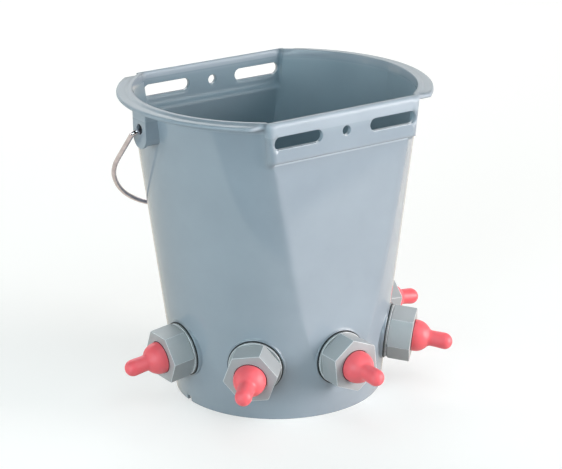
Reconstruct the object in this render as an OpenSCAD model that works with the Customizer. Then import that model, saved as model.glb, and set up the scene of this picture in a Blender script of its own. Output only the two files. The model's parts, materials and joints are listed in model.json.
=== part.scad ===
// Multi teat lamb feeder: a flat-sided bucket with a swinging wire bail and
// five screw-on teats, each with its own ball valve.
// The origin is the centre of the foot, the hanging bands face -Y and +Y.

/* [Bucket] */
// Overall height of the bucket
bucket_h = 260; // [200:1:320]
// Outer radius of the wall at the foot
foot_r = 87.4; // [70:0.1:110]
// Outer radius of the round wall at the rim
rim_r = 119.2; // [100:0.1:140]
// Thickness of the bucket wall
wall = 2.5; // [2:0.1:4]
// Height of the underside of the floor above the foot
floor_z = 12; // [6:0.5:20]
// Thickness of the floor
floor_t = 3; // [2:0.1:5]
// Width of the notches in the foot ring
notch_w = 6; // [3:0.5:12]
// Height of the notches in the foot ring
notch_h = 4.5; // [2:0.5:8]
// Direction of the notches around the foot, in degrees from the front
notch_angle = -92; // [-120:1:-60]

/* [Rim lip] */
// Width of the rim lip outside the round wall
lip_w = 10.1; // [6:0.1:16]
// Thickness of the lip at its outer edge
lip_t = 3.3; // [2:0.1:6]
// Drop of the outer edge of the lip below the rim
lip_drop = 1.5; // [0.5:0.1:5]
// Width of the level land at the top of the rim
rim_land = 3.4; // [2.6:0.1:5]
// Radius of the outer edges of the lip
lip_round = 1.2; // [0.3:0.1:1.5]

/* [Flat sides and hanging bands] */
// Distance from the axis to a flat side at the rim
flat_y = 95.4; // [90:0.1:110]
// Draft of the flat sides, in degrees
flat_draft = 1.38; // [0.5:0.01:3]
// Distance that a hanging band stands out from the flat side at the rim
band_out = 4.7; // [3:0.1:12]
// Thickness of a hanging band
band_t = 3.8; // [3:0.1:6]
// Height of a hanging band
band_h = 33.8; // [25:0.1:50]
// Distance that a band reaches past each end of the flat side at the rim
band_past_top = 2; // [0.5:0.1:4]
// Distance that a band reaches past each end of the flat side at the band's foot
band_past_low = 3.9; // [1:0.1:6]
// Thickness of the ends of a band
band_end_t = 2.5; // [1.5:0.1:4]
// Radius of the top edge of a band
band_top_round = 3; // [0.5:0.1:3.5]
// Radius of the upright outer edges of a band
band_end_round = 3; // [0.5:0.1:4]
// Distance from the rim down to the middle of the slots and the hole
slot_drop = 16.6; // [10:0.1:25]
// Distance from the middle of a band to the near end of a slot
slot_from = 22.8; // [15:0.1:35]
// Distance from the far end of a slot to the end of the band
slot_margin = 3.6; // [2.5:0.1:10]
// Width of a slot
slot_w = 10.5; // [6:0.1:14]
// Radius of the hole between the slots
hole_r = 4; // [2.5:0.1:6]

/* [Bail ears] */
// Distance that an ear stands out from the round wall at the rim
ear_out = 9.3; // [7:0.1:16]
// Width of an ear
ear_w = 19.7; // [14:0.1:30]
// Distance from the rim down to the rounded lower end of an ear
ear_drop = 33; // [26:0.1:60]
// Thickness of the ear walls
ear_t = 2.5; // [2:0.1:4]
// Radius of the hole in an ear
ear_hole_r = 4.2; // [3:0.1:6]
// Distance from the rim down to the hole in an ear
ear_hole_drop = 17; // [12:0.1:22]

/* [Bail] */
// Radius of the bail wire
wire_r = 2; // [1.5:0.1:3]
// Distance from an ear's outer face to the middle of the bail's arm
arm_out = 5.8; // [4:0.1:12]
// Length of the straight part of each arm
arm_l = 36; // [20:0.5:60]
// Radius of the bail's shoulders
shoulder_r = 70; // [30:1:110]
// Angle that each shoulder turns through
shoulder_turn = 25; // [10:1:60]
// Radius of the bend beside each ear
elbow_r = 4; // [3:0.1:6]
// Distance from an ear's inner face to the middle of the hooked wire end
hook_in = 4.5; // [2.5:0.1:5.5]
// Radius of the bend of the hooked wire end
hook_r = 3.2; // [2.5:0.1:4]
// Straight length of the hooked wire end
hook_l = 2.6; // [1:0.1:4]
// Gap between the wall and the bail that rests on it
bail_gap = 0.36; // [0.3:0.01:2]
// Gap between touching pieces that move apart
rest_gap = 0.3; // [0.2:0.05:0.5]

/* [Teat stations] */
// Directions of the teats around the bucket, in degrees from the front
station_angles = [-90, -45, 0, 45, 90];
// Height of the teats above the foot, measured on the wall
station_z = 49.4; // [40:0.1:80]
// Radius of the round boss that carries a teat
boss_r = 24; // [20:0.5:30]
// Height of the boss face above the wall
boss_out = 0.6; // [0.2:0.1:2]
// Depth of the boss inner face behind the outside of the wall
boss_in = 5; // [4:0.1:8]
// Radius of the hole through the boss
boss_hole_r = 16; // [12:0.1:20]

/* [Cap nut] */
// Turn of each hexagon, in degrees, from the left teat to the right one
nut_turns = [59.3, 8.6, 36.5, 12.3, 41];
// Width across the flats of the cap nut
nut_flats = 39.5; // [34:0.1:46]
// Distance from the wall to the front face of the cap nut
nut_front = 22.65; // [18:0.05:30]
// Thickness of the front of the cap nut
nut_lip_t = 3; // [2:0.1:5]
// Radius of the hole in the front of the cap nut
nut_hole_r = 13.8; // [12:0.1:16]
// Gap between the cap nut and the lock ring
nut_gap = 0.3; // [0.2:0.05:1]
// Radial gap at the thread
thread_gap = 0.1; // [0.05:0.05:0.3]

/* [Washers and lock ring] */
// Thickness of the outer rubber washer
outer_washer_t = 1; // [0.5:0.1:2]
// Radius of the outer rubber washer
outer_washer_r = 23; // [20:0.1:26]
// Thickness of the lock ring
lock_ring_t = 1.5; // [1:0.1:3]
// Radius of the lock ring
lock_ring_r = 22; // [19:0.1:25]
// Thickness of the inner rubber washer
inner_washer_t = 1.6; // [1:0.1:3]

/* [Valve] */
// Outer radius of the threaded shank
shank_r = 15.6; // [12:0.1:18]
// Distance from the wall to the outer end of the shank
shank_end = 16.9; // [12:0.1:20]
// Radius of the flange inside the bucket
flange_r = 20; // [18:0.1:24]
// Thickness of the flange inside the bucket
flange_t = 2.8; // [2:0.1:4]
// Radius of the valve ball
ball_r = 7; // [5:0.1:8]
// Radius of the valve seat
seat_r = 5; // [3:0.1:6]
// Thickness of the wall around the valve seat
seat_t = 2; // [1:0.1:3]
// Radius of the valve chamber
chamber_r = 9.5; // [8:0.1:11]
// Width of the four ribs that guide the ball
rib_w = 2.5; // [1:0.1:4]
// Distance from the wall to the shoulder that carries the ball stop
shoulder_a = 8; // [5:0.1:10]
// Radius of the pocket for the ball stop
stop_pocket_r = 12; // [10:0.1:13]
// Thickness of the ball stop's spider
spider_t = 2.2; // [1:0.1:3]
// Wall thickness of the ball stop's sleeve
sleeve_t = 1.3; // [0.8:0.1:2]
// Width of the ball stop's cross bars
spider_w = 3.4; // [2:0.1:5]

/* [Teat] */
// Radius of the teat body where it leaves the cap nut
dome_r = 13.3; // [11:0.1:15]
// Distance that the centre of the dome lies behind the front of the cap nut
dome_back = 1.45; // [0:0.05:4]
// Radius of the nipple
nipple_r = 6.4; // [5:0.1:8]
// Radius of the blend between the dome and the nipple
blend_r = 4; // [2:0.1:8]
// Distance from the wall to the tip of the teat
teat_end = 55.3; // [45:0.1:70]
// Radius of the clamped flange of the teat
teat_flange_r = 15.3; // [14:0.1:16]
// Rubber thickness of the dome
dome_t = 2.4; // [1.5:0.1:4]
// Rubber thickness of the nipple
nipple_t = 2.2; // [1.5:0.1:4]
// Rubber thickness at the tip
tip_t = 2.6; // [1.5:0.1:4]
// Length of the milk slit in the tip
slit_l = 5; // [3:0.1:8]
// Width of the milk slit in the tip
slit_w = 0.5; // [0.3:0.05:1]

/* [Hidden] */

round_fn = 96;
small_fn = 48;
over = 1;

// slope of the round wall and of the flat sides
wall_slope = (rim_r - foot_r) / bucket_h;
wall_tilt = atan(wall_slope);
flat_slope = tan(flat_draft);
flat_foot_y = flat_y - bucket_h * flat_slope;
lip_r = rim_r + lip_w;
far = 2 * lip_r;

// radius of the round wall and distance of the flat side at a height
function wall_at(z) = foot_r + z * wall_slope;
function flat_at(z) = flat_foot_y + z * flat_slope;

// half the width of a flat side at a height, where it meets the round wall
function flat_half(z) = sqrt(max(0, pow(wall_at(z), 2) - pow(flat_at(z), 2)));

band_y = flat_y + band_out;
band_z = bucket_h - band_h;
band_ledge_t = 3;
band_top = flat_half(bucket_h) + band_past_top;
band_low = flat_half(band_z) + band_past_low;
band_lean = atan((band_top - band_low) / band_h);
face_past = 0.02;
wall_sink = 0.05;
band_inner_round = 0.6;
slot_z = bucket_h - slot_drop;
slot_to = band_top - slot_drop * tan(band_lean) - slot_margin;
slot_l = slot_to - slot_from;
slot_x = slot_from + slot_l / 2;
lip_under = bucket_h - lip_drop - lip_t;
floor_top = floor_z + floor_t;
ear_x = rim_r + ear_out;
ear_z = bucket_h - ear_drop;
ear_hole_z = bucket_h - ear_hole_drop;
arm_x = ear_x + arm_out;
hook_x = ear_x - ear_t - hook_in;
pad_r = boss_r - 1;
pad_clear = 3;

// distances along a teat's axis, counted outward from the outside of the wall
washer_in_a = -boss_in - inner_washer_t;
flange_a = washer_in_a - flange_t;
ring_a = boss_out + outer_washer_t;
nut_a = ring_a + lock_ring_t + nut_gap;
nut_corner_r = nut_flats / 2 / cos(30);
nut_inner_a = nut_front - nut_lip_t;
nut_bevel = 1.2;
front_bevel = 0.6;
chamber_a = flange_a + seat_t;
dome_a = nut_front - dome_back;
teat_flange_gap = 0.05;
stop_gap = 0.2;
ball_stop_a = shoulder_a;
ball_rest_a = ball_stop_a - ball_r - rest_gap;
stop_end_a = shank_end - stop_gap;
guide_r = ball_r + rest_gap;

pivot_z = ear_hole_z - (ear_hole_r - wire_r - rest_gap);

// the bail's long curve between its two shoulders
sweep_r = (arm_x - shoulder_r * (1 - cos(shoulder_turn))) / cos(shoulder_turn);
sweep_z = arm_l + (shoulder_r - sweep_r) * sin(shoulder_turn);

// distance from the bucket to a point of that curve, x from its middle, with the
// bail turned from straight down: off the round wall, the flat side or the edge between
function beside(x, y, z) = wall_at(z) * y <= flat_at(z) * norm([x, y])
    ? norm([x, y]) - wall_at(z)
    : norm([max(0, x - flat_half(z)), y - flat_at(z)]);
function wire_down(x) = sweep_z + sqrt(pow(sweep_r, 2) - x * x);
function bail_clear(turn) = cos(wall_tilt) * min([
    for (share = [0 : 0.002 : 0.9])
        let (x = share * sweep_r, u = wire_down(x))
            beside(x, u * sin(turn), pivot_z - u * cos(turn))
]);

// the least turn at which the bail clears the bucket by the wire and its gap
function lean_out(low, high, left) = left == 0
    ? high
    : let (half = (low + high) / 2)
        bail_clear(half) < wire_r + bail_gap
            ? lean_out(half, high, left - 1)
            : lean_out(low, half, left - 1);
rest_angle = lean_out(10, 90, 24);

// the bends of the wire end a hair apart, and a ball a hair fuller than the wire joins them
join_turn = 0.02;
join_r = wire_r + 0.01;
sweep_from = shoulder_turn - 180 + join_turn;

// places its children on the axis of one teat: local +Z points outward along the axis
module at_station(i) {
    flat = station_angles[i] == 0 && flat_at(station_z) < wall_at(station_z);
    out = flat ? flat_at(station_z) : wall_at(station_z);
    tilt = flat ? flat_draft : wall_tilt;
    rotate([0, 0, station_angles[i]])
        translate([0, -out, station_z])
            rotate([90 + tilt, 0, 0])
                children();
}

// a disc or a ring on a teat's axis
module disc(r, from, to) {
    translate([0, 0, from])
        cylinder(r = r, h = to - from, $fn = round_fn);
}

module ring(r_out, r_in, from, to) {
    difference() {
        disc(r_out, from, to);
        disc(r_in, from - over, to + over);
    }
}

// the space between the two flat sides, moved inward by a thickness
module between_flats(inset, from, to) {
    low = flat_at(from) - inset;
    high = flat_at(to) - inset;
    rotate([90, 0, 90])
        translate([0, 0, -far])
            linear_extrude(height = 2 * far)
                polygon([[-low, from], [low, from], [high, to], [-high, to]]);
}

// the side view of a hanging band, distance from the axis and then height: its foot
// curves out of the flat side and its top edge is rounded
module band_profile(face, wall_y, foot_z, top_z, top_round) {
    r = (face - wall_y) / 2;
    back = wall_y - wall - over;
    translate([back, foot_z])
        square([face - r - back, top_z - top_round - foot_z]);
    translate([face - r, foot_z + r])
        circle(r = r, $fn = small_fn);
    translate([back, foot_z + r])
        square([face - back, top_z - top_round - foot_z - r]);
    translate([back, foot_z + r])
        square([face - top_round - back, top_z - foot_z - r]);
    if (top_round > 0)
        translate([face - top_round, top_z - top_round])
            circle(r = top_round, $fn = small_fn);
    difference() {
        translate([back, foot_z - r])
            square([face - r - back, 2 * r]);
        translate([face - r, foot_z - r])
            circle(r = r, $fn = small_fn);
    }
}

// a block that ends at the +X end of a band and leans with it, its outer edge rounded
module band_end(half_top, face, top_z, run, round_r) {
    translate([half_top, 0, top_z])
        rotate([0, band_lean, 0])
            translate([0, 0, -run])
                linear_extrude(height = run + 2 * over) {
                    translate([-far, 0])
                        square([far - round_r, face]);
                    translate([-far, 0])
                        square([far, face - round_r]);
                    translate([-round_r, face - round_r])
                        circle(r = round_r, $fn = small_fn);
                }
}

module band_block(face, wall_y, foot_z, top_z, top_round, half_top, end_round) {
    run = top_z - foot_z + face - wall_y + 2 * half_top * tan(band_lean) + over;
    intersection() {
        rotate([90, 0, 90])
            translate([0, 0, -far])
                linear_extrude(height = 2 * far)
                    band_profile(face, wall_y, foot_z, top_z, top_round);
        band_end(half_top, face + face_past, top_z, run, end_round);
        mirror([1, 0, 0])
            band_end(half_top, face + face_past, top_z, run, end_round);
    }
}

module both_sides() {
    children();
    rotate([0, 0, 180])
        children();
}

module rim_lip() {
    inside = rim_r - wall - over;
    land_end = rim_r - wall + rim_land;
    top = bucket_h - lip_drop;
    edge = lip_r - lip_round;
    rotate_extrude($fn = round_fn) {
        polygon([
            [inside, bucket_h],
            [land_end, bucket_h],
            [land_end + lip_drop, top],
            [edge, top],
            [edge, lip_under],
            [inside, lip_under]
        ]);
        translate([edge, lip_under + lip_round])
            square([lip_round, lip_t - 2 * lip_round]);
        for (z = [lip_under + lip_round, top - lip_round])
            translate([edge, z])
                circle(r = lip_round, $fn = small_fn);
    }
}

module ear() {
    mid_z = ear_z + ear_w / 2;
    start_x = wall_at(ear_z) - wall;
    inner_w = ear_w - 2 * ear_t;
    difference() {
        union() {
            translate([start_x, 0, mid_z])
                rotate([0, 90, 0])
                    cylinder(r = ear_w / 2, h = ear_x - start_x, $fn = round_fn);
            translate([start_x, -ear_w / 2, mid_z])
                cube([ear_x - start_x, ear_w, lip_under + over - mid_z]);
        }
        translate([0, -inner_w / 2, ear_z - over])
            cube([ear_x - ear_t, inner_w, lip_under - over - ear_z]);
        translate([rim_r, 0, ear_hole_z])
            rotate([0, 90, 0])
                cylinder(r = ear_hole_r, h = far, $fn = small_fn);
    }
}

module slot(side) {
    run = slot_l / 2 - slot_w / 2;
    translate([side * slot_x, 0, slot_z])
        rotate([90, 0, 0])
            union() {
                translate([-run, -slot_w / 2, flat_y - wall - over])
                    cube([2 * run, slot_w, far]);
                for (end = [-run, run])
                    translate([end, 0, flat_y - wall - over])
                        cylinder(r = slot_w / 2, h = far, $fn = small_fn);
            }
}

module outer_shape() {
    intersection() {
        union() {
            cylinder(r1 = foot_r, r2 = rim_r, h = bucket_h, $fn = round_fn);
            rim_lip();
        }
        between_flats(0, 0, bucket_h);
    }
    both_sides()
        band_block(
            band_y,
            flat_at(band_z - band_out / 2) - wall_sink,
            band_z,
            bucket_h,
            band_top_round,
            band_top,
            band_end_round
        );
    both_sides()
        ear();
    for (i = [0 : len(station_angles) - 1])
        at_station(i)
            disc(boss_r, -boss_in, boss_out);
}

module inner_shape() {
    ledge_z = band_z + band_ledge_t;
    top_z = bucket_h + over;
    inner_top = band_top - band_end_t + over * tan(band_lean);
    difference() {
        union() {
            intersection() {
                translate([0, 0, floor_top])
                    cylinder(
                        r1 = wall_at(floor_top) - wall,
                        r2 = wall_at(top_z) - wall,
                        h = top_z - floor_top,
                        $fn = round_fn
                    );
                between_flats(wall, floor_top, top_z);
            }
            both_sides()
                band_block(
                    band_y - band_t,
                    flat_at(ledge_z - band_out / 2) - wall - wall_sink,
                    ledge_z,
                    top_z,
                    0,
                    inner_top,
                    band_inner_round
                );
        }
        for (i = [0 : len(station_angles) - 1])
            at_station(i)
                disc(pad_r, -boss_in, boss_out);
    }
    for (i = [0 : len(station_angles) - 1])
        at_station(i)
            disc(pad_r, -boss_in - pad_clear, -boss_in);
}

module bucket() {
    color([0.56, 0.65, 0.70])
        difference() {
            outer_shape();
            inner_shape();
            translate([0, 0, -over])
                cylinder(
                    r1 = wall_at(-over) - wall,
                    r2 = wall_at(floor_z) - wall,
                    h = floor_z + over,
                    $fn = round_fn
                );
            for (side = [-1, 1])
                both_sides()
                    slot(side);
            both_sides()
                translate([0, 0, slot_z])
                    rotate([90, 0, 0])
                        translate([0, 0, flat_y - wall - over])
                            cylinder(r = hole_r, h = far, $fn = small_fn);
            for (i = [0 : len(station_angles) - 1])
                at_station(i)
                    disc(boss_hole_r, -boss_in - over, boss_out + over);
            rotate([0, 0, notch_angle])
                translate([-notch_w / 2, -foot_r - over, -over])
                    cube([notch_w, 2 * (foot_r + over), notch_h + over]);
        }
}

// an arc of wire in the plane of the bail, angles counted from +X towards +Z
module wire_arc(centre_x, centre_z, r, from, turn) {
    translate([centre_x, 0, centre_z])
        rotate([90, 0, 0])
            rotate([0, 0, from])
                rotate_extrude(angle = turn, $fn = round_fn)
                    translate([r, 0])
                        circle(r = wire_r, $fn = small_fn);
}

module bail_half() {
    wire_arc(arm_x - shoulder_r, -arm_l, shoulder_r, 0, -shoulder_turn);
    translate([sweep_r * cos(shoulder_turn), 0, -sweep_z - sweep_r * sin(shoulder_turn)])
        sphere(r = join_r, $fn = small_fn);
    translate([arm_x, 0, -arm_l])
        cylinder(r = wire_r, h = arm_l - elbow_r, $fn = small_fn);
    wire_arc(arm_x - elbow_r, -elbow_r, elbow_r, 0, 90);
    translate([hook_x + hook_r, 0, 0])
        rotate([0, 90, 0])
            cylinder(r = wire_r, h = arm_x - elbow_r - hook_x - hook_r, $fn = small_fn);
    wire_arc(hook_x + hook_r, -hook_r, hook_r, 90, 90);
    translate([hook_x, 0, -hook_r - hook_l])
        cylinder(r = wire_r, h = hook_l, $fn = small_fn);
}

module bail() {
    color([0.72, 0.71, 0.70])
        translate([0, 0, pivot_z])
            rotate([rest_angle, 0, 0])
                union() {
                    bail_half();
                    mirror([1, 0, 0])
                        bail_half();
                    wire_arc(0, -sweep_z, sweep_r, sweep_from, -180 - 2 * sweep_from);
                }
}

// the outline of half a teat: distance from the axis, then distance along it
module teat_outside() {
    join_a = dome_a + sqrt(pow(dome_r + blend_r, 2) - pow(nipple_r + blend_r, 2));
    touch = dome_r / (dome_r + blend_r);
    touch_r = touch * (nipple_r + blend_r);
    touch_a = dome_a + touch * (join_a - dome_a);
    tip_a = teat_end - nipple_r;
    translate([0, shank_end])
        square([teat_flange_r, nut_inner_a - teat_flange_gap - shank_end]);
    translate([0, shank_end])
        square([dome_r, dome_a - shank_end]);
    intersection() {
        translate([0, dome_a])
            circle(r = dome_r, $fn = round_fn);
        translate([0, dome_a])
            square([dome_r + over, dome_r + over]);
    }
    difference() {
        polygon([[0, dome_a], [touch_r, touch_a], [nipple_r + blend_r, join_a], [0, join_a]]);
        translate([nipple_r + blend_r, join_a])
            circle(r = blend_r, $fn = round_fn);
    }
    translate([0, join_a])
        square([nipple_r, tip_a - join_a]);
    intersection() {
        translate([0, tip_a])
            circle(r = nipple_r, $fn = round_fn);
        translate([0, tip_a])
            square([nipple_r + over, nipple_r + over]);
    }
}

module teat_inside() {
    inner_dome_r = dome_r - dome_t;
    inner_r = nipple_r - nipple_t;
    inner_end = teat_end - tip_t - inner_r;
    translate([0, shank_end - over])
        square([inner_dome_r, dome_a - shank_end + over]);
    intersection() {
        translate([0, dome_a])
            circle(r = inner_dome_r, $fn = round_fn);
        translate([0, dome_a])
            square([inner_dome_r + over, inner_dome_r + over]);
    }
    translate([0, dome_a])
        square([inner_r, inner_end - dome_a]);
    intersection() {
        translate([0, inner_end])
            circle(r = inner_r, $fn = round_fn);
        translate([0, inner_end])
            square([inner_r + over, inner_r + over]);
    }
}

module teat(i) {
    color([0.93, 0.42, 0.45])
        at_station(i)
            difference() {
                rotate_extrude($fn = round_fn)
                    difference() {
                        teat_outside();
                        teat_inside();
                    }
                for (turn = [0, 90])
                    rotate([0, 0, turn])
                        translate([-slit_l / 2, -slit_w / 2, teat_end - 2 * tip_t])
                            cube([slit_l, slit_w, 3 * tip_t]);
            }
}

module cap_nut(i) {
    length = nut_front - nut_a;
    color([0.66, 0.69, 0.68])
        at_station(i)
            difference() {
                intersection() {
                    rotate([0, 0, nut_turns[i]])
                        translate([0, 0, nut_a])
                            cylinder(r = nut_corner_r, h = length, $fn = 6);
                    union() {
                        translate([0, 0, nut_a])
                            cylinder(
                                r1 = nut_corner_r - nut_bevel,
                                r2 = nut_corner_r + over,
                                h = nut_bevel + over,
                                $fn = round_fn
                            );
                        disc(nut_corner_r + over, nut_a + nut_bevel + over, nut_front - front_bevel - over);
                        translate([0, 0, nut_front - front_bevel - over])
                            cylinder(
                                r1 = nut_corner_r + over,
                                r2 = nut_corner_r - front_bevel,
                                h = front_bevel + over,
                                $fn = round_fn
                            );
                    }
                }
                disc(shank_r + thread_gap, nut_a - over, nut_inner_a);
                disc(nut_hole_r, nut_inner_a - over, nut_front + over);
            }
}

module lock_ring(i) {
    color([0.66, 0.69, 0.68])
        at_station(i)
            ring(lock_ring_r, shank_r + thread_gap, ring_a, ring_a + lock_ring_t);
}

module outer_washer(i) {
    color([0.10, 0.11, 0.11])
        at_station(i)
            ring(outer_washer_r, shank_r + 2 * thread_gap, boss_out, ring_a);
}

module inner_washer(i) {
    color([0.10, 0.11, 0.11])
        at_station(i)
            ring(flange_r, shank_r + 2 * thread_gap, washer_in_a, -boss_in);
}

module valve_body(i) {
    color([0.66, 0.69, 0.68])
        at_station(i)
            difference() {
                union() {
                    disc(shank_r, flange_a, shank_end);
                    disc(flange_r, flange_a, washer_in_a);
                }
                disc(seat_r, flange_a - over, chamber_a + over);
                difference() {
                    disc(chamber_r, chamber_a, shoulder_a + over);
                    difference() {
                        union() {
                            for (turn = [45, 135])
                                rotate([0, 0, turn])
                                    translate([-far, -rib_w / 2, chamber_a - over])
                                        cube([2 * far, rib_w, shoulder_a - chamber_a + over]);
                        }
                        disc(guide_r, chamber_a - 2 * over, shoulder_a + 2 * over);
                    }
                }
                disc(stop_pocket_r, shoulder_a, shank_end + over);
            }
}

module valve_ball(i) {
    color([0.93, 0.93, 0.90])
        at_station(i)
            translate([0, 0, ball_rest_a])
                sphere(r = ball_r, $fn = round_fn);
}

module ball_stop(i) {
    sleeve_r = stop_pocket_r - thread_gap;
    color([0.90, 0.90, 0.88])
        at_station(i)
            union() {
                ring(sleeve_r, sleeve_r - sleeve_t, ball_stop_a, stop_end_a);
                intersection() {
                    disc(sleeve_r - sleeve_t / 2, ball_stop_a, ball_stop_a + spider_t);
                    union() {
                        for (turn = [0, 90])
                            rotate([0, 0, turn])
                                translate([-stop_pocket_r, -spider_w / 2, ball_stop_a])
                                    cube([2 * stop_pocket_r, spider_w, spider_t]);
                    }
                }
            }
}

bucket();
bail();
teat(0);  // teat_left
teat(1);  // teat_front_left
teat(2);  // teat_front
teat(3);  // teat_front_right
teat(4);  // teat_right
cap_nut(0);  // cap_nut_left
cap_nut(1);  // cap_nut_front_left
cap_nut(2);  // cap_nut_front
cap_nut(3);  // cap_nut_front_right
cap_nut(4);  // cap_nut_right
lock_ring(0);  // lock_ring_left
lock_ring(1);  // lock_ring_front_left
lock_ring(2);  // lock_ring_front
lock_ring(3);  // lock_ring_front_right
lock_ring(4);  // lock_ring_right
outer_washer(0);  // outer_washer_left
outer_washer(1);  // outer_washer_front_left
outer_washer(2);  // outer_washer_front
outer_washer(3);  // outer_washer_front_right
outer_washer(4);  // outer_washer_right
inner_washer(0);  // inner_washer_left
inner_washer(1);  // inner_washer_front_left
inner_washer(2);  // inner_washer_front
inner_washer(3);  // inner_washer_front_right
inner_washer(4);  // inner_washer_right
valve_body(0);  // valve_body_left
valve_body(1);  // valve_body_front_left
valve_body(2);  // valve_body_front
valve_body(3);  // valve_body_front_right
valve_body(4);  // valve_body_right
valve_ball(0);  // valve_ball_left
valve_ball(1);  // valve_ball_front_left
valve_ball(2);  // valve_ball_front
valve_ball(3);  // valve_ball_front_right
valve_ball(4);  // valve_ball_right
ball_stop(0);  // ball_stop_left
ball_stop(1);  // ball_stop_front_left
ball_stop(2);  // ball_stop_front
ball_stop(3);  // ball_stop_front_right
ball_stop(4);  // ball_stop_right
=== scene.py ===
import json
import math

import bmesh
import bpy
from mathutils import Matrix, Vector


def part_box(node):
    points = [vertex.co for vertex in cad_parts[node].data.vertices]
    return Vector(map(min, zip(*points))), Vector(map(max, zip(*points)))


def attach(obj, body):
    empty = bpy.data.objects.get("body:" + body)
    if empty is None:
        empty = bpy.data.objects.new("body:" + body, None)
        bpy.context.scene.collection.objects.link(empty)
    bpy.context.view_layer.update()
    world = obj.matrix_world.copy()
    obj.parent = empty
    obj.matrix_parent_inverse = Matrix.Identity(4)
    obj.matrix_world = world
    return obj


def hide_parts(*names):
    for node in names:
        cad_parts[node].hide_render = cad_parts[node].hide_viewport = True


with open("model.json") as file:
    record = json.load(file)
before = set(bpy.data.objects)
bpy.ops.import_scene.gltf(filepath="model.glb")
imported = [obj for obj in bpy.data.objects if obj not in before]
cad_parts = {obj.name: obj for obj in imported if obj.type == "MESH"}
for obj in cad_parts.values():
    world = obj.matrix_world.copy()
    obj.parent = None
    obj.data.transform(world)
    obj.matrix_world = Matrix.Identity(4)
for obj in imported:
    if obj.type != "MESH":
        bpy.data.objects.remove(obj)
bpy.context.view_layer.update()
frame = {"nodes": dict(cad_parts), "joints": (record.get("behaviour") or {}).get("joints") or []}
nodes = frame["nodes"]
places = ["left", "front_left", "front", "front_right", "right"]

photoSize = (562, 469)
millimetres = 1000.0  # in one metre, the patterns below are given in millimetres

nodeGrid = {"perRow": 8, "across": 220, "down": 320}  # how nodes are laid out in the editor

clouds = {
    "noise": {"Detail": 4.0, "Roughness": 0.55},
    "toneSpan": (0.32, 0.68),  # part of the noise that runs from the shade to the colour
    "roughSpan": (0.3, 0.7),
}
grainNoise = {"Detail": 2.0, "Roughness": 0.5}

mixFactor, mixUnder, mixOver, mixResult = 0, 6, 7, 2  # sockets of a Mix node set to colours


def linear(hexCode):
    channels = [int(hexCode[i:i + 2], 16) / 255 for i in (1, 3, 5)]
    # the usual sRGB curve, straight near black
    curve = [c / 12.92 if c <= 0.04045 else ((c + 0.055) / 1.055) ** 2.4 for c in channels]
    return (*curve, 1.0)


def towards(azimuth, elevation=0.0):
    # angles in degrees, azimuth 0 points out of the bucket's front
    a, e = math.radians(azimuth), math.radians(elevation)
    return Vector((math.sin(a) * math.cos(e), -math.cos(a) * math.cos(e), math.sin(e)))


def addNode(tree, kind, settings=None, links=None):
    node = tree.nodes.new(kind)
    row, column = divmod(len(tree.nodes) - 1, nodeGrid["perRow"])
    node.location = (column * nodeGrid["across"], -row * nodeGrid["down"])
    for name, value in (settings or {}).items():
        if name == "tones":  # shade and colour of a ramp
            for element, position, tone in zip(node.color_ramp.elements, clouds["toneSpan"], value):
                element.position = position
                element.color = linear(tone)
        elif isinstance(name, str) and hasattr(node, name):
            setattr(node, name, value)
        else:
            node.inputs[name].default_value = value
    for name, socket in (links or {}).items():
        tree.links.new(socket, node.inputs[name])
    return node


def newMaterial(name):
    material = bpy.data.materials.new(name)
    material.use_nodes = True
    material.node_tree.nodes.clear()
    return material, material.node_tree


# Each zone is either a soft step along a value, (value, (from, to), (start, end)),
# or it joins earlier ones, (operation, first, second, ...).
def drawZones(tree, found, zones):
    for zone, (kind, *rest) in zones.items():
        if kind in found:
            (low, high), (start, end) = rest
            found[zone] = addNode(tree, "ShaderNodeMapRange",
                                  {"interpolation_type": "SMOOTHSTEP",
                                   "From Min": low, "From Max": high,
                                   "To Min": start, "To Max": end},
                                  {"Value": found[kind]}).outputs["Result"]
            continue
        joined = found[rest[0]]
        for name in rest[1:]:
            joined = addNode(tree, "ShaderNodeMath", {"operation": kind},
                             {0: joined, 1: found[name]}).outputs["Value"]
        found[zone] = joined
    return found


# cloudy tone and roughness, and a fine grain over the rounded or plain normal
def surfacePattern(tree, coords, look, rounded=None):
    cloud = addNode(tree, "ShaderNodeTexNoise",
                    {"Scale": millimetres / look["cloudSize"], **clouds["noise"]},
                    {"Vector": coords}).outputs["Fac"]
    colour = addNode(tree, "ShaderNodeValToRGB", {"tones": look["tones"]}, {"Fac": cloud})
    roughLow, roughHigh = look["roughness"]
    spanLow, spanHigh = clouds["roughSpan"]
    roughness = addNode(tree, "ShaderNodeMapRange",
                        {"From Min": spanLow, "From Max": spanHigh,
                         "To Min": roughLow, "To Max": roughHigh}, {"Value": cloud})
    fine = addNode(tree, "ShaderNodeTexNoise",
                   {"Scale": millimetres / look["grainSize"], **grainNoise},
                   {"Vector": coords}).outputs["Fac"]
    bumpLinks = {"Height": fine} if rounded is None else {"Height": fine, "Normal": rounded}
    bump = addNode(tree, "ShaderNodeBump",
                   {"Strength": 1.0, "Distance": look["grainHeight"] / millimetres}, bumpLinks)
    return (cloud, colour.outputs["Color"], roughness.outputs["Result"],
            bump.outputs["Normal"])


def layTones(tree, cloud, under, mask, tones):
    over = addNode(tree, "ShaderNodeValToRGB", {"tones": tones}, {"Fac": cloud})
    return addNode(tree, "ShaderNodeMix", {"data_type": "RGBA"},
                   {mixFactor: mask, mixUnder: under,
                    mixOver: over.outputs["Color"]}).outputs[mixResult]


def finishMaterial(tree, colour, roughness, normal, settings):
    shader = addNode(tree, "ShaderNodeBsdfPrincipled", settings,
                     {"Base Color": colour, "Roughness": roughness, "Normal": normal})
    addNode(tree, "ShaderNodeOutputMaterial", None, {"Surface": shader.outputs["BSDF"]})


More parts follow.
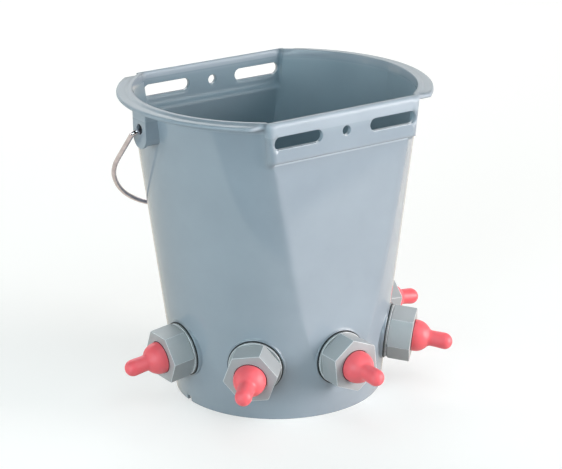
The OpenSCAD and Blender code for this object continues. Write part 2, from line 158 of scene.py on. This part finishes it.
def plainMaterial(look):
    material, tree = newMaterial(look["name"])
    coords = addNode(tree, "ShaderNodeTexCoord").outputs["Object"]
    _, colour, roughness, normal = surfacePattern(tree, coords, look)
    finishMaterial(tree, colour, roughness, normal, look["shader"])
    return material


def setMaterial(piece, material):
    piece.data.materials.clear()
    piece.data.materials.append(material)


def newPiece(name, mesh, material):
    piece = bpy.data.objects.new(name, mesh)
    bpy.context.scene.collection.objects.link(piece)
    setMaterial(piece, material)
    return piece


camera = {
    "azimuth": -33.771,  # degrees
    "elevation": 18.996,
    "roll": -0.711,
    "distance": 1.6794,  # metres from the target
    "target": (0.0, 0.0, 0.13),
    "focalPixels": 2005.6,
    "shiftPixels": (4.369, -0.567),
    "sensorWidth": 36.0,  # mm
    "clip": (0.05, 60.0),  # metres
}


def buildCamera():
    back = towards(camera["azimuth"], camera["elevation"])
    roll = math.radians(camera["roll"])
    right = (-back).cross(Vector((0, 0, 1))).normalized()
    up = right.cross(-back)
    across = right * math.cos(roll) + up * math.sin(roll)
    along = up * math.cos(roll) - right * math.sin(roll)
    lens = bpy.data.cameras.new("camera")
    lens.sensor_fit = "HORIZONTAL"
    lens.sensor_width = camera["sensorWidth"]
    lens.lens = camera["focalPixels"] / photoSize[0] * camera["sensorWidth"]
    lens.shift_x, lens.shift_y = (shift / photoSize[0] for shift in camera["shiftPixels"])
    lens.clip_start, lens.clip_end = camera["clip"]
    holder = bpy.data.objects.new("camera", lens)
    bpy.context.scene.collection.objects.link(holder)
    place = Vector(camera["target"]) + back * camera["distance"]
    turn = Matrix((across, along, back)).transposed().to_4x4()
    holder.matrix_world = Matrix.Translation(place) @ turn
    bpy.context.scene.camera = holder


light = {
    "backdrop": "#FFFFFF",  # what the camera sees past the floor
    "backdropAzimuth": 146.2,  # it stands behind the bucket, and reflections see it there
    "backdropEdge": (0.25, 0.5),  # its soft side, as the cosine from its middle
    "backdropTop": (0.08, 0.3),  # its soft top, as the sine of the height
    "ambientTint": "#F6F9FC",
    "around": 0.012,  # the studio is nearly dark around its lamps
    "overhead": 0.008,
    "aroundToOverhead": (0.1, 0.75),  # sine of the height, from the one to the other
    "softLights": {  # azimuth, elevation, distance and size in metres, watts, tint
        "key": (44.5, 9, 2.5, 1.6, 87.0, "#FFF9F7"),
        "fill": (-62, 12, 2.5, 1.6, 38.0, "#E4F9FF"),
        "side": (-115, 15, 2.5, 1.4, 14.6, "#FDFFF9"),
        "back_right": (125, 20, 2.5, 1.4, 3.7, "#FFFBF2"),
        "back_low": (146, 19, 2.5, 1.8, 1.0, "#FFF8F2"),
        "back_high": (150, 36, 2.5, 1.4, 17.5, "#FCFFFF"),
        "back": (180, 25, 2.5, 1.4, 12.8, "#FFFEFC"),
        "overhead": (0, 50, 2.5, 1.4, 14.0, "#E2F8FF"),
        "top": (0, 82, 2.5, 1.4, 4.7, "#E0FFFF"),
    },
}


def buildWorld():
    world = bpy.data.worlds.new("Studio air")
    bpy.context.scene.world = world
    world.use_nodes = True
    tree = world.node_tree
    tree.nodes.clear()
    coords = addNode(tree, "ShaderNodeTexCoord").outputs["Generated"]
    split = addNode(tree, "ShaderNodeSeparateXYZ", None, {"Vector": coords})
    behind = addNode(tree, "ShaderNodeVectorMath",
                     {"operation": "DOT_PRODUCT", 1: towards(light["backdropAzimuth"])},
                     {0: coords})
    rays = addNode(tree, "ShaderNodeLightPath")
    found = drawZones(tree, {
        "up": split.outputs["Z"], "behind": behind.outputs["Value"],
        "camera": rays.outputs["Is Camera Ray"], "glossy": rays.outputs["Is Glossy Ray"],
        "through": rays.outputs["Is Transmission Ray"],
    }, {
        "ambient": ("up", light["aroundToOverhead"], (light["around"], light["overhead"])),
        "facing": ("behind", light["backdropEdge"], (0.0, 1.0)),
        "low": ("up", light["backdropTop"], (1.0, 0.0)),
        "mirrored": ("MULTIPLY", "facing", "low", "glossy"),
        "white": ("MAXIMUM", "camera", "through", "mirrored"),
    })
    seen = addNode(tree, "ShaderNodeBackground",
                   {"Color": linear(light["backdrop"]), "Strength": 1.0})
    lit = addNode(tree, "ShaderNodeBackground", {"Color": linear(light["ambientTint"])},
                  {"Strength": found["ambient"]})
    mix = addNode(tree, "ShaderNodeMixShader", None,
                  {0: found["white"], 1: lit.outputs["Background"],
                   2: seen.outputs["Background"]})
    addNode(tree, "ShaderNodeOutputWorld", None, {"Surface": mix.outputs["Shader"]})


def addSoftLight(name, azimuth, elevation, distance, size, power, tint):
    lamp = bpy.data.lights.new(name, "AREA")
    lamp.shape = "DISK"
    lamp.size = size
    lamp.energy = power
    lamp.color = linear(tint)[:3]
    holder = bpy.data.objects.new(name, lamp)
    bpy.context.scene.collection.objects.link(holder)
    away = towards(azimuth, elevation)
    holder.location = Vector(camera["target"]) + away * distance
    holder.rotation_mode = "QUATERNION"
    holder.rotation_quaternion = (-away).to_track_quat("-Z", "Y")


# Matt painted board: an even light grey with hardly any gloss, its share in the bucket's
# reflections is set by shine and by the front edge
floor = {
    "colour": "#BEBEBD",
    "halfSize": 12.0,
    "roughness": (0.82, 0.88),
    "patchSize": 333.0,  # mm across one duller or shinier patch of the paint
    "patchDetail": 2.0,
    "gloss": 0.2,
    "lift": 1.02,  # brightens the floor for the camera only
    "shine": 0.45,  # brightens the table in reflections
    "shineTint": "#FFEFD6",
    "fadeFrom": 0.9,  # metres, where the floor begins to turn into the backdrop
    "fadeTo": 2.4,
    "frontEdge": 0.33,  # metres, past it reflections see an unlit room
    "frontAzimuth": -26.6,
    "edgeSoftness": 0.008,
    "room": "#2A2B2C",  # what they see there
}


def floorMaterial():
    material, tree = newMaterial("Painted studio floor")
    coords = addNode(tree, "ShaderNodeTexCoord").outputs["Object"]
    noise = addNode(tree, "ShaderNodeTexNoise",
                    {"Scale": millimetres / floor["patchSize"], "Detail": floor["patchDetail"]},
                    {"Vector": coords})
    roughLow, roughHigh = floor["roughness"]
    rough = addNode(tree, "ShaderNodeMapRange", {"To Min": roughLow, "To Max": roughHigh},
                    {"Value": noise.outputs["Fac"]})
    across = addNode(tree, "ShaderNodeVectorMath",
                     {"operation": "DOT_PRODUCT", 1: towards(floor["frontAzimuth"])},
                     {0: coords})
    past = addNode(tree, "ShaderNodeMapRange",
                   {"From Min": floor["frontEdge"] - floor["edgeSoftness"],
                    "From Max": floor["frontEdge"] + floor["edgeSoftness"]},
                   {"Value": across.outputs["Value"]})
    away = addNode(tree, "ShaderNodeVectorMath", {"operation": "LENGTH"}, {0: coords})
    rays = addNode(tree, "ShaderNodeLightPath")
    found = drawZones(tree, {
        "past": past.outputs["Result"], "away": away.outputs["Value"],
        "camera": rays.outputs["Is Camera Ray"], "glossy": rays.outputs["Is Glossy Ray"],
    }, {
        "unlit": ("MULTIPLY", "past", "glossy"),
        "shine": ("glossy", (0.0, 1.0), (0.0, floor["shine"])),
        "lift": ("camera", (0.0, 1.0), (0.0, floor["lift"])),
        "fade": ("away", (floor["fadeFrom"], floor["fadeTo"]), (0.0, 1.0)),
        "seen": ("MULTIPLY", "fade", "camera"),
    })
    paint = addNode(tree, "ShaderNodeBsdfPrincipled",
                    {"Base Color": linear(floor["colour"]),
                     "Specular IOR Level": floor["gloss"]},
                    {"Roughness": rough.outputs["Result"]})
    room = addNode(tree, "ShaderNodeBsdfDiffuse", {"Color": linear(floor["room"])})
    glow = addNode(tree, "ShaderNodeEmission", {"Color": linear(floor["colour"])},
                   {"Strength": found["lift"]})
    sheen = addNode(tree, "ShaderNodeEmission", {"Color": linear(floor["shineTint"])},
                    {"Strength": found["shine"]})
    glows = addNode(tree, "ShaderNodeAddShader", None,
                    {0: glow.outputs["Emission"], 1: sheen.outputs["Emission"]})
    lit = addNode(tree, "ShaderNodeAddShader", None,
                  {0: paint.outputs["BSDF"], 1: glows.outputs["Shader"]})
    table = addNode(tree, "ShaderNodeMixShader", None,
                    {0: found["unlit"], 1: lit.outputs["Shader"], 2: room.outputs["BSDF"]})
    beyond = addNode(tree, "ShaderNodeEmission",
                     {"Color": linear(light["backdrop"]), "Strength": 1.0})
    whole = addNode(tree, "ShaderNodeMixShader", None,
                    {0: found["seen"], 1: table.outputs["Shader"],
                     2: beyond.outputs["Emission"]})
    addNode(tree, "ShaderNodeOutputMaterial", None, {"Surface": whole.outputs["Shader"]})
    return material


def buildFloor():
    half = floor["halfSize"]
    corners = [(-half, -half, 0), (half, -half, 0), (half, half, 0), (-half, half, 0)]
    mesh = bpy.data.meshes.new("studio_floor")
    mesh.from_pydata(corners, [], [(0, 1, 2, 3)])
    newPiece("studio_floor", mesh, floorMaterial())


# Moulded polypropylene: a smooth, softly shining skin with faint cloudy patches and a hint
# of orange peel. Sizes are metres from the middle of the foot, and pairs are where a soft
# step starts and ends.
bucketPlastic = {
    "name": "Moulded polypropylene, grey blue",
    "shader": {"IOR": 1.49},
    "tones": ("#96A0AA", "#9CA6B0"),  # shade and colour of the patches
    "insideShadeTones": ("#8596A1", "#8A9CA7"),  # painted shade: the inside is painted darker and more teal, standing in for the shade within the bucket
    "paintedHighlightTones": ("#D2DEE8", "#DCE8F2"),  # painted highlight: a light line along the foot of a band and a lighter band top stand in for the light these edges catch
    "roughness": (0.05, 0.08),
    "rubbedRoughness": 0.36,  # the lip and the inside are duller than the outer walls
    "cloudSize": 55.0,  # mm across one patch
    "grainSize": 1.6,  # mm, orange peel is finer, drawn this coarse so that it shows
    "grainHeight": 0.01,
    "bevelSamples": 8,
    "edgeRound": 0.0011,  # radius that the shading gives to plain edges
    "creaseRound": 0.0130,  # the soft edge between round wall and flat side
    "lipRound": 0.0034,
    "bandEndRound": 0.0075,
    "bandTopRound": 0.0050,
    "innerStepRound": 0.0060,  # the soft step below the band, seen inside
    "coneMiddle": (0.12231, 0.0860),  # slope and foot radius of the middle of the round wall
    "flatMiddle": (0.02409, 0.08774),  # the same for a flat side
    "pocketMiddle": (0.1206, 0.04087),  # the end wall of the hollow behind a band
    "abovePocket": (1.0, -0.2275),  # height above the foot of that hollow
    "bandReach": 0.0040,  # how much further out the band's skin lies
    "bandShift": (0.2225, 0.2295),
    "wallBlend": (-0.0002, 0.0004),
    "rimBlend": (0.2500, 0.2575),
    "floorBlend": (0.010, 0.014),
    "lipFrom": (0.1155, 0.1175),  # radius where the rolled lip begins
    "lipHeight": (0.248, 0.252),
    "footLineFrom": (0.2234, 0.2243),  # painted highlight: the light line along a band's foot
    "footLineTo": (0.2249, 0.2254),
    "footLineEnd": (0.062, 0.065),
    "footHighlight": 0.5,
    "topHighlightFrom": (0.243, 0.252),
    "topWear": 0.13,
    "flatSkin": (0.0925, 0.0935),
    "creaseFrom": (0.059, 0.109),
    "creaseTo": (0.214, 0.222),
    "bandEnd": (0.063, 0.066),
    "bandHeight": (0.219, 0.223),
    "nearFlat": (0.086, 0.089),
    "innerStepFrom": (0.210, 0.214),
    "innerStepTo": (0.236, 0.240),
    "bandTop": (0.248, 0.254),
}


def bucketZones(look):
    edge, crease, step = (look[k] for k in ("edgeRound", "creaseRound", "innerStepRound"))
    whole, rising, falling = (0.0, 1.0), (0.0, 1.0), (1.0, 0.0)
    return {
        # between the two skins of the wall, so that the inside can be told from the outside
        "coneDepth": ("SUBTRACT", "coneMiddle", "reach"),
        "pocketDepth": ("SUBTRACT", "pocketMiddle", "sideways"),
        "pocket": ("MINIMUM", "pocketDepth", "abovePocket"),
        "roundDepth": ("MAXIMUM", "coneDepth", "pocket"),
        "bandShift": ("height", look["bandShift"], (0.0, look["bandReach"])),
        "flatLimit": ("ADD", "flatMiddle", "bandShift"),
        "flatDepth": ("SUBTRACT", "flatLimit", "forward"),
        "depth": ("MINIMUM", "roundDepth", "flatDepth"),
        "within": ("depth", look["wallBlend"], rising),
        "belowRim": ("height", look["rimBlend"], falling),
        "aboveFloor": ("height", look["floorBlend"], rising),
        "inside": ("MULTIPLY", "within", "belowRim", "aboveFloor"),
        "outside": ("inside", whole, falling),
        # the lip, and the places where a band gets its painted highlight
        "pastWall": ("reach", look["lipFrom"], rising),
        "lipHeight": ("height", look["lipHeight"], rising),
        "onLip": ("MULTIPLY", "pastWall", "lipHeight"),
        "footLineFrom": ("height", look["footLineFrom"], (0.0, look["footHighlight"])),
        "footLineTo": ("height", look["footLineTo"], falling),
        "footLineEnd": ("sideways", look["footLineEnd"], falling),
        "footLine": ("MINIMUM", "footLineFrom", "footLineTo", "footLineEnd"),
        "topWear": ("height", look["topHighlightFrom"], (0.0, look["topWear"])),
        "wear": ("MAXIMUM", "footLine", "topWear"),
        "flatSkin": ("forward", look["flatSkin"], rising),
        "worn": ("MULTIPLY", "wear", "flatSkin", "outside"),
        # how dull the skin is there
        "wornBand": ("worn", (0.0, look["topWear"]), rising),
        "dull": ("MAXIMUM", "onLip", "inside", "wornBand"),
        "dullness": ("dull", whole, (0.0, look["rubbedRoughness"])),
        # the radius of the rounded edges, the inner corners stay tight
        "creaseFrom": ("height", look["creaseFrom"], (edge, crease)),
        "creaseTo": ("height", look["creaseTo"], (crease, edge)),
        "creaseOuter": ("inside", whole, (crease, edge)),
        "crease": ("MINIMUM", "creaseFrom", "creaseTo", "creaseOuter"),
        "lipRound": ("onLip", whole, (0.0, look["lipRound"])),
        "bandEnd": ("sideways", look["bandEnd"], (0.0, look["bandEndRound"])),
        "bandHeight": ("height", look["bandHeight"], rising),
        "nearFlat": ("forward", look["nearFlat"], rising),
        "endRound": ("MULTIPLY", "bandEnd", "bandHeight", "nearFlat", "outside"),
        "innerStepFrom": ("height", look["innerStepFrom"], (0.0, step)),
        "innerStepTo": ("height", look["innerStepTo"], (step, 0.0)),
        "innerStep": ("MINIMUM", "innerStepFrom", "innerStepTo"),
        "stepRound": ("MULTIPLY", "innerStep", "inside"),
        "bandTop": ("height", look["bandTop"], (0.0, look["bandTopRound"])),
        "topRound": ("MULTIPLY", "bandTop", "nearFlat"),
        "rounding": ("MAXIMUM", "crease", "lipRound", "endRound", "stepRound", "topRound"),
    }


def bucketMaterial():
    look = bucketPlastic
    material, tree = newMaterial(look["name"])
    coords = addNode(tree, "ShaderNodeTexCoord").outputs["Object"]
    split = addNode(tree, "ShaderNodeSeparateXYZ", None, {"Vector": coords})
    x, y, z = (split.outputs[axis] for axis in "XYZ")
    level = addNode(tree, "ShaderNodeCombineXYZ", None, {"X": x, "Y": y})
    reach = addNode(tree, "ShaderNodeVectorMath", {"operation": "LENGTH"},
                    {0: level.outputs["Vector"]})
    sideways = addNode(tree, "ShaderNodeMath", {"operation": "ABSOLUTE"}, {0: x})
    forward = addNode(tree, "ShaderNodeMath", {"operation": "ABSOLUTE"}, {0: y})
    found = {"height": z, "reach": reach.outputs["Value"],
             "sideways": sideways.outputs["Value"], "forward": forward.outputs["Value"]}
    for wall in ("coneMiddle", "flatMiddle", "pocketMiddle", "abovePocket"):
        slope, start = look[wall]
        found[wall] = addNode(tree, "ShaderNodeMath",
                              {"operation": "MULTIPLY_ADD", 1: slope, 2: start},
                              {0: z}).outputs["Value"]
    drawZones(tree, found, bucketZones(look))
    rounded = addNode(tree, "ShaderNodeBevel", {"samples": look["bevelSamples"]},
                      {"Radius": found["rounding"]}).outputs["Normal"]
    cloud, colour, roughness, normal = surfacePattern(tree, coords, look, rounded)
    # painted shade: the inside is painted darker
    colour = layTones(tree, cloud, colour, found["inside"], look["insideShadeTones"])
    # painted highlight: a light line along each band's foot and a lighter band top
    colour = layTones(tree, cloud, colour, found["worn"], look["paintedHighlightTones"])
    rougher = addNode(tree, "ShaderNodeMath", {"operation": "MAXIMUM"},
                      {0: roughness, 1: found["dullness"]})
    finishMaterial(tree, colour, rougher.outputs["Value"], normal, look["shader"])
    return material


# Moulded nylon: satin, with a fine spark-eroded grain that only softens the shine
fittingPlastic = {
    "name": "Moulded nylon, light grey",
    "shader": {"IOR": 1.53},
    "tones": ("#A5A8AA", "#ADB0B2"),
    "edgeHighlightTones": ("#E4E7EA", "#F2F4F6"),  # painted highlight: the corners are painted lighter, standing in for the shine on their edges
    "roughness": (0.3, 0.4),
    "cloudSize": 20.0,  # mm across one patch
    "grainSize": 0.6,  # mm, the real grain is near 0.1, drawn this coarse so that it shows
    "grainHeight": 0.02,
    "bevelSamples": 8,
    "edgeRound": 0.0009,
    "edgeLean": (0.93, 0.995),  # cosine between the rounded and the plain normal
}


def fittingMaterial():
    look = fittingPlastic
    material, tree = newMaterial(look["name"])
    coords = addNode(tree, "ShaderNodeTexCoord").outputs["Object"]
    rounded = addNode(tree, "ShaderNodeBevel",
                      {"samples": look["bevelSamples"],
                       "Radius": look["edgeRound"]}).outputs["Normal"]
    face = addNode(tree, "ShaderNodeNewGeometry").outputs["Normal"]
    lean = addNode(tree, "ShaderNodeVectorMath", {"operation": "DOT_PRODUCT"},
                   {0: rounded, 1: face}).outputs["Value"]
    found = drawZones(tree, {"lean": lean}, {"edgeHighlight": ("lean", look["edgeLean"], (1.0, 0.0))})
    cloud, colour, roughness, normal = surfacePattern(tree, coords, look, rounded)
    # painted highlight: the rounded corners are painted lighter
    colour = layTones(tree, cloud, colour, found["edgeHighlight"], look["edgeHighlightTones"])
    finishMaterial(tree, colour, roughness, normal, look["shader"])
    return material


# Moulded natural rubber with a smooth skin: light goes a few millimetres in, red the
# furthest, so the thin ends look soft and warm.
# Sizes are metres, and distances along the teat are from the bucket's wall.
teatRubber = {
    "name": "Natural rubber, coral red",
    "shader": {"IOR": 1.51, "Subsurface Weight": 0.35,
               "Subsurface Radius": (0.004, 0.0012, 0.001), "Subsurface Scale": 1.0},
    "tones": ("#F7666F", "#FB6E76"),
    "gapShadeTones": ("#582024", "#6A2A2E"),  # painted shade: the part inside the nut's gap is painted dark, standing in for its shadow
    "rootEnd": (0.0229, 0.0235),
    "roughness": (0.4, 0.5),
    "cloudSize": 12.0,  # mm
    "grainSize": 0.5,  # mm, coarser than the real skin so that it shows
    "grainHeight": 0.02,
    "flangeRadius": 0.0153,
    "bodyRadius": 0.0133,
    "neckRadius": 0.0066,
    "tipRadius": 0.0069,
    "blendRadius": 0.0045,
    "back": 0.0170,
    "flangeFront": 0.01958,
    "domeCentre": 0.0246,
    "end": 0.0560,
    "droop": {"left": 0.0, "front_left": 0.0016, "front": 0.0006,
              "front_right": 0.0010, "right": 0.0008},  # how far the end hangs down
    "droopFrom": 0.030,
    "ringToWall": 0.00235,  # from the middle of the lock ring to the wall
    "segments": 72,
    "domeSteps": 14,
    "blendSteps": 8,
    "neckSteps": 8,
    "tipSteps": 12,
}


def teatMaterial():
    look = teatRubber
    material, tree = newMaterial(look["name"])
    coords = addNode(tree, "ShaderNodeTexCoord").outputs["Object"]
    along = addNode(tree, "ShaderNodeSeparateXYZ", None, {"Vector": coords}).outputs["Z"]
    found = drawZones(tree, {"along": along}, {"root": ("along", look["rootEnd"], (1.0, 0.0))})
    cloud, colour, roughness, normal = surfacePattern(tree, coords, look)
    # painted shade: the part inside the nut is painted dark
    colour = layTones(tree, cloud, colour, found["root"], look["gapShadeTones"])
    finishMaterial(tree, colour, roughness, normal, look["shader"])
    return material


def stationMatrix(place):
    joint = next(j for j in frame["joints"] if j["name"] == f"ball_{place}_slide")
    outward = Vector(joint["axis"]).normalized()
    low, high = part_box(f"lock_ring_{place}")
    wallPoint = (low + high) / 2 - outward * teatRubber["ringToWall"]
    side = Vector((0, 0, 1)).cross(outward).normalized()
    up = outward.cross(side)
    return Matrix((side, up, outward)).transposed().to_4x4(), wallPoint


def arcPoints(centre, radius, start, end, count):
    steps = [start + (end - start) * i / count for i in range(count + 1)]
    return [(centre[0] + radius * math.cos(s), centre[1] + radius * math.sin(s)) for s in steps]


def teatOutline():
    look = teatRubber
    body, blend, neck, tip = (look[k] for k in
                              ("bodyRadius", "blendRadius", "neckRadius", "tipRadius"))
    centre = look["domeCentre"]
    joinHeight = math.sqrt((body + blend) ** 2 - (neck + blend) ** 2)
    joinAngle = math.atan2(joinHeight, neck + blend)
    neckEnd = centre + joinHeight
    tipCentre = look["end"] - tip
    points = [(0.0, look["back"]), (look["flangeRadius"], look["back"]),
              (look["flangeRadius"], look["flangeFront"]),
              (body, look["flangeFront"]), (body, centre)]
    points += arcPoints((0.0, centre), body, 0.0, joinAngle, look["domeSteps"])[1:]
    points += arcPoints((neck + blend, neckEnd), blend, joinAngle + math.pi, math.pi,
                        look["blendSteps"])[1:]
    for i in range(1, look["neckSteps"]):
        share = i / look["neckSteps"]
        swell = share * share * (3 - 2 * share)  # eases in and out
        points.append((neck + (tip - neck) * swell, neckEnd + (tipCentre - neckEnd) * share))
    points += arcPoints((0.0, tipCentre), tip, 0.0, math.pi / 2, look["tipSteps"])
    return points[:-1] + [(0.0, look["end"])]


def spinOutline(shape, outline, count):
    rings = []
    for radius, along in outline:
        if radius == 0.0:
            rings.append([shape.verts.new((0, 0, along))])
            continue
        turns = [2 * math.pi * s / count for s in range(count)]
        rings.append([shape.verts.new((radius * math.cos(turn), radius * math.sin(turn), along))
                      for turn in turns])
    for inner, outer in zip(rings, rings[1:]):
        for s in range(count):
            t = (s + 1) % count
            corners = [inner[s % len(inner)], inner[t % len(inner)],
                       outer[t % len(outer)], outer[s % len(outer)]]
            face = [v for i, v in enumerate(corners) if v not in corners[:i]]
            shape.faces.new(face).smooth = True
    bmesh.ops.recalc_face_normals(shape, faces=shape.faces)


def buildTeat(place, material):
    look = teatRubber
    shape = bmesh.new()
    spinOutline(shape, teatOutline(), look["segments"])
    reach = look["end"] - look["droopFrom"]
    for vert in shape.verts:
        past = max(0.0, vert.co.z - look["droopFrom"]) / reach
        vert.co.y -= look["droop"][place] * past * past
    mesh = bpy.data.meshes.new(f"rubber_teat_{place}")
    shape.to_mesh(mesh)
    shape.free()
    piece = newPiece(f"rubber_teat_{place}", mesh, material)
    turn, wallPoint = stationMatrix(place)
    piece.matrix_world = Matrix.Translation(wallPoint) @ turn
    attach(piece, "bucket_body")
    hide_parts(f"teat_{place}")


# Moulded and tumbled polypropylene: an even white with a soft shine
ballPlastic = {
    "name": "Moulded polypropylene, white",
    "shader": {"IOR": 1.49},
    "tones": ("#E4E4DE", "#EDEDE8"),
    "roughness": (0.2, 0.28),
    "cloudSize": 10.0,  # mm
    "grainSize": 0.6,  # mm, coarser than the real skin so that it shows
    "grainHeight": 0.02,
    "segments": 64,
}


def buildBall(place, material):
    low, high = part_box(f"valve_ball_{place}")
    count = ballPlastic["segments"]
    shape = bmesh.new()
    bmesh.ops.create_uvsphere(shape, u_segments=count, v_segments=count // 2,
                              radius=(high - low).z / 2)
    for face in shape.faces:
        face.smooth = True
    mesh = bpy.data.meshes.new(f"moulded_ball_{place}")
    shape.to_mesh(mesh)
    shape.free()
    piece = newPiece(f"moulded_ball_{place}", mesh, material)
    piece.location = (low + high) / 2
    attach(piece, f"ball_{place}")
    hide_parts(f"valve_ball_{place}")


# Nitrile rubber, cut from moulded sheet: nearly black, with a dull shine
sealRubber = {
    "name": "Black nitrile rubber",
    "shader": {"IOR": 1.52},
    "tones": ("#202426", "#2B3033"),
    "roughness": (0.42, 0.55),
    "cloudSize": 10.0,  # mm
    "grainSize": 0.6,  # mm, coarser than the real sheet's so that it shows
    "grainHeight": 0.02,
}

# Drawn steel wire, zinc-plated: bright and sharp, faintly blurred by the drawing marks
bailSteel = {
    "name": "Zinc-plated steel wire",
    "shader": {"Metallic": 1.0},
    "tones": ("#C5BDC3", "#DED6DC"),
    "roughness": (0.1, 0.18),
    "cloudSize": 6.0,  # mm
    "grainSize": 0.4,  # mm, drawing marks are finer, drawn this coarse so that they show
    "grainHeight": 0.01,
}

# Moulded nylon, uncoloured: a satin off-white
stopPlastic = {
    "name": "Moulded nylon, white",
    "shader": {"IOR": 1.53},
    "tones": ("#D8D8D2", "#E2E2DC"),
    "roughness": (0.42, 0.5),
    "cloudSize": 10.0,  # mm
    "grainSize": 0.6,  # mm, coarser than the real grain so that it shows
    "grainHeight": 0.02,
}


def dressNodes():
    fitting, seal, stop = fittingMaterial(), plainMaterial(sealRubber), plainMaterial(stopPlastic)
    setMaterial(nodes["bucket"], bucketMaterial())
    setMaterial(nodes["bail"], plainMaterial(bailSteel))
    finishes = {"cap_nut": fitting, "lock_ring": fitting, "valve_body": fitting,
                "outer_washer": seal, "inner_washer": seal, "ball_stop": stop}
    for place in places:
        for kind, material in finishes.items():
            setMaterial(nodes[f"{kind}_{place}"], material)


bpy.context.scene.view_settings.view_transform = "Standard"
buildCamera()
buildWorld()
buildFloor()
for name, values in light["softLights"].items():
    addSoftLight(name, *values)
print("stage: camera, floor and lights are in place")

dressNodes()
print("stage: the packed parts have their materials")

teatLook = teatMaterial()
for place in places:
    buildTeat(place, teatLook)
print("stage: five rubber teats are in place")

ballLook = plainMaterial(ballPlastic)
for place in places:
    buildBall(place, ballLook)
print("stage: five valve balls are in place")
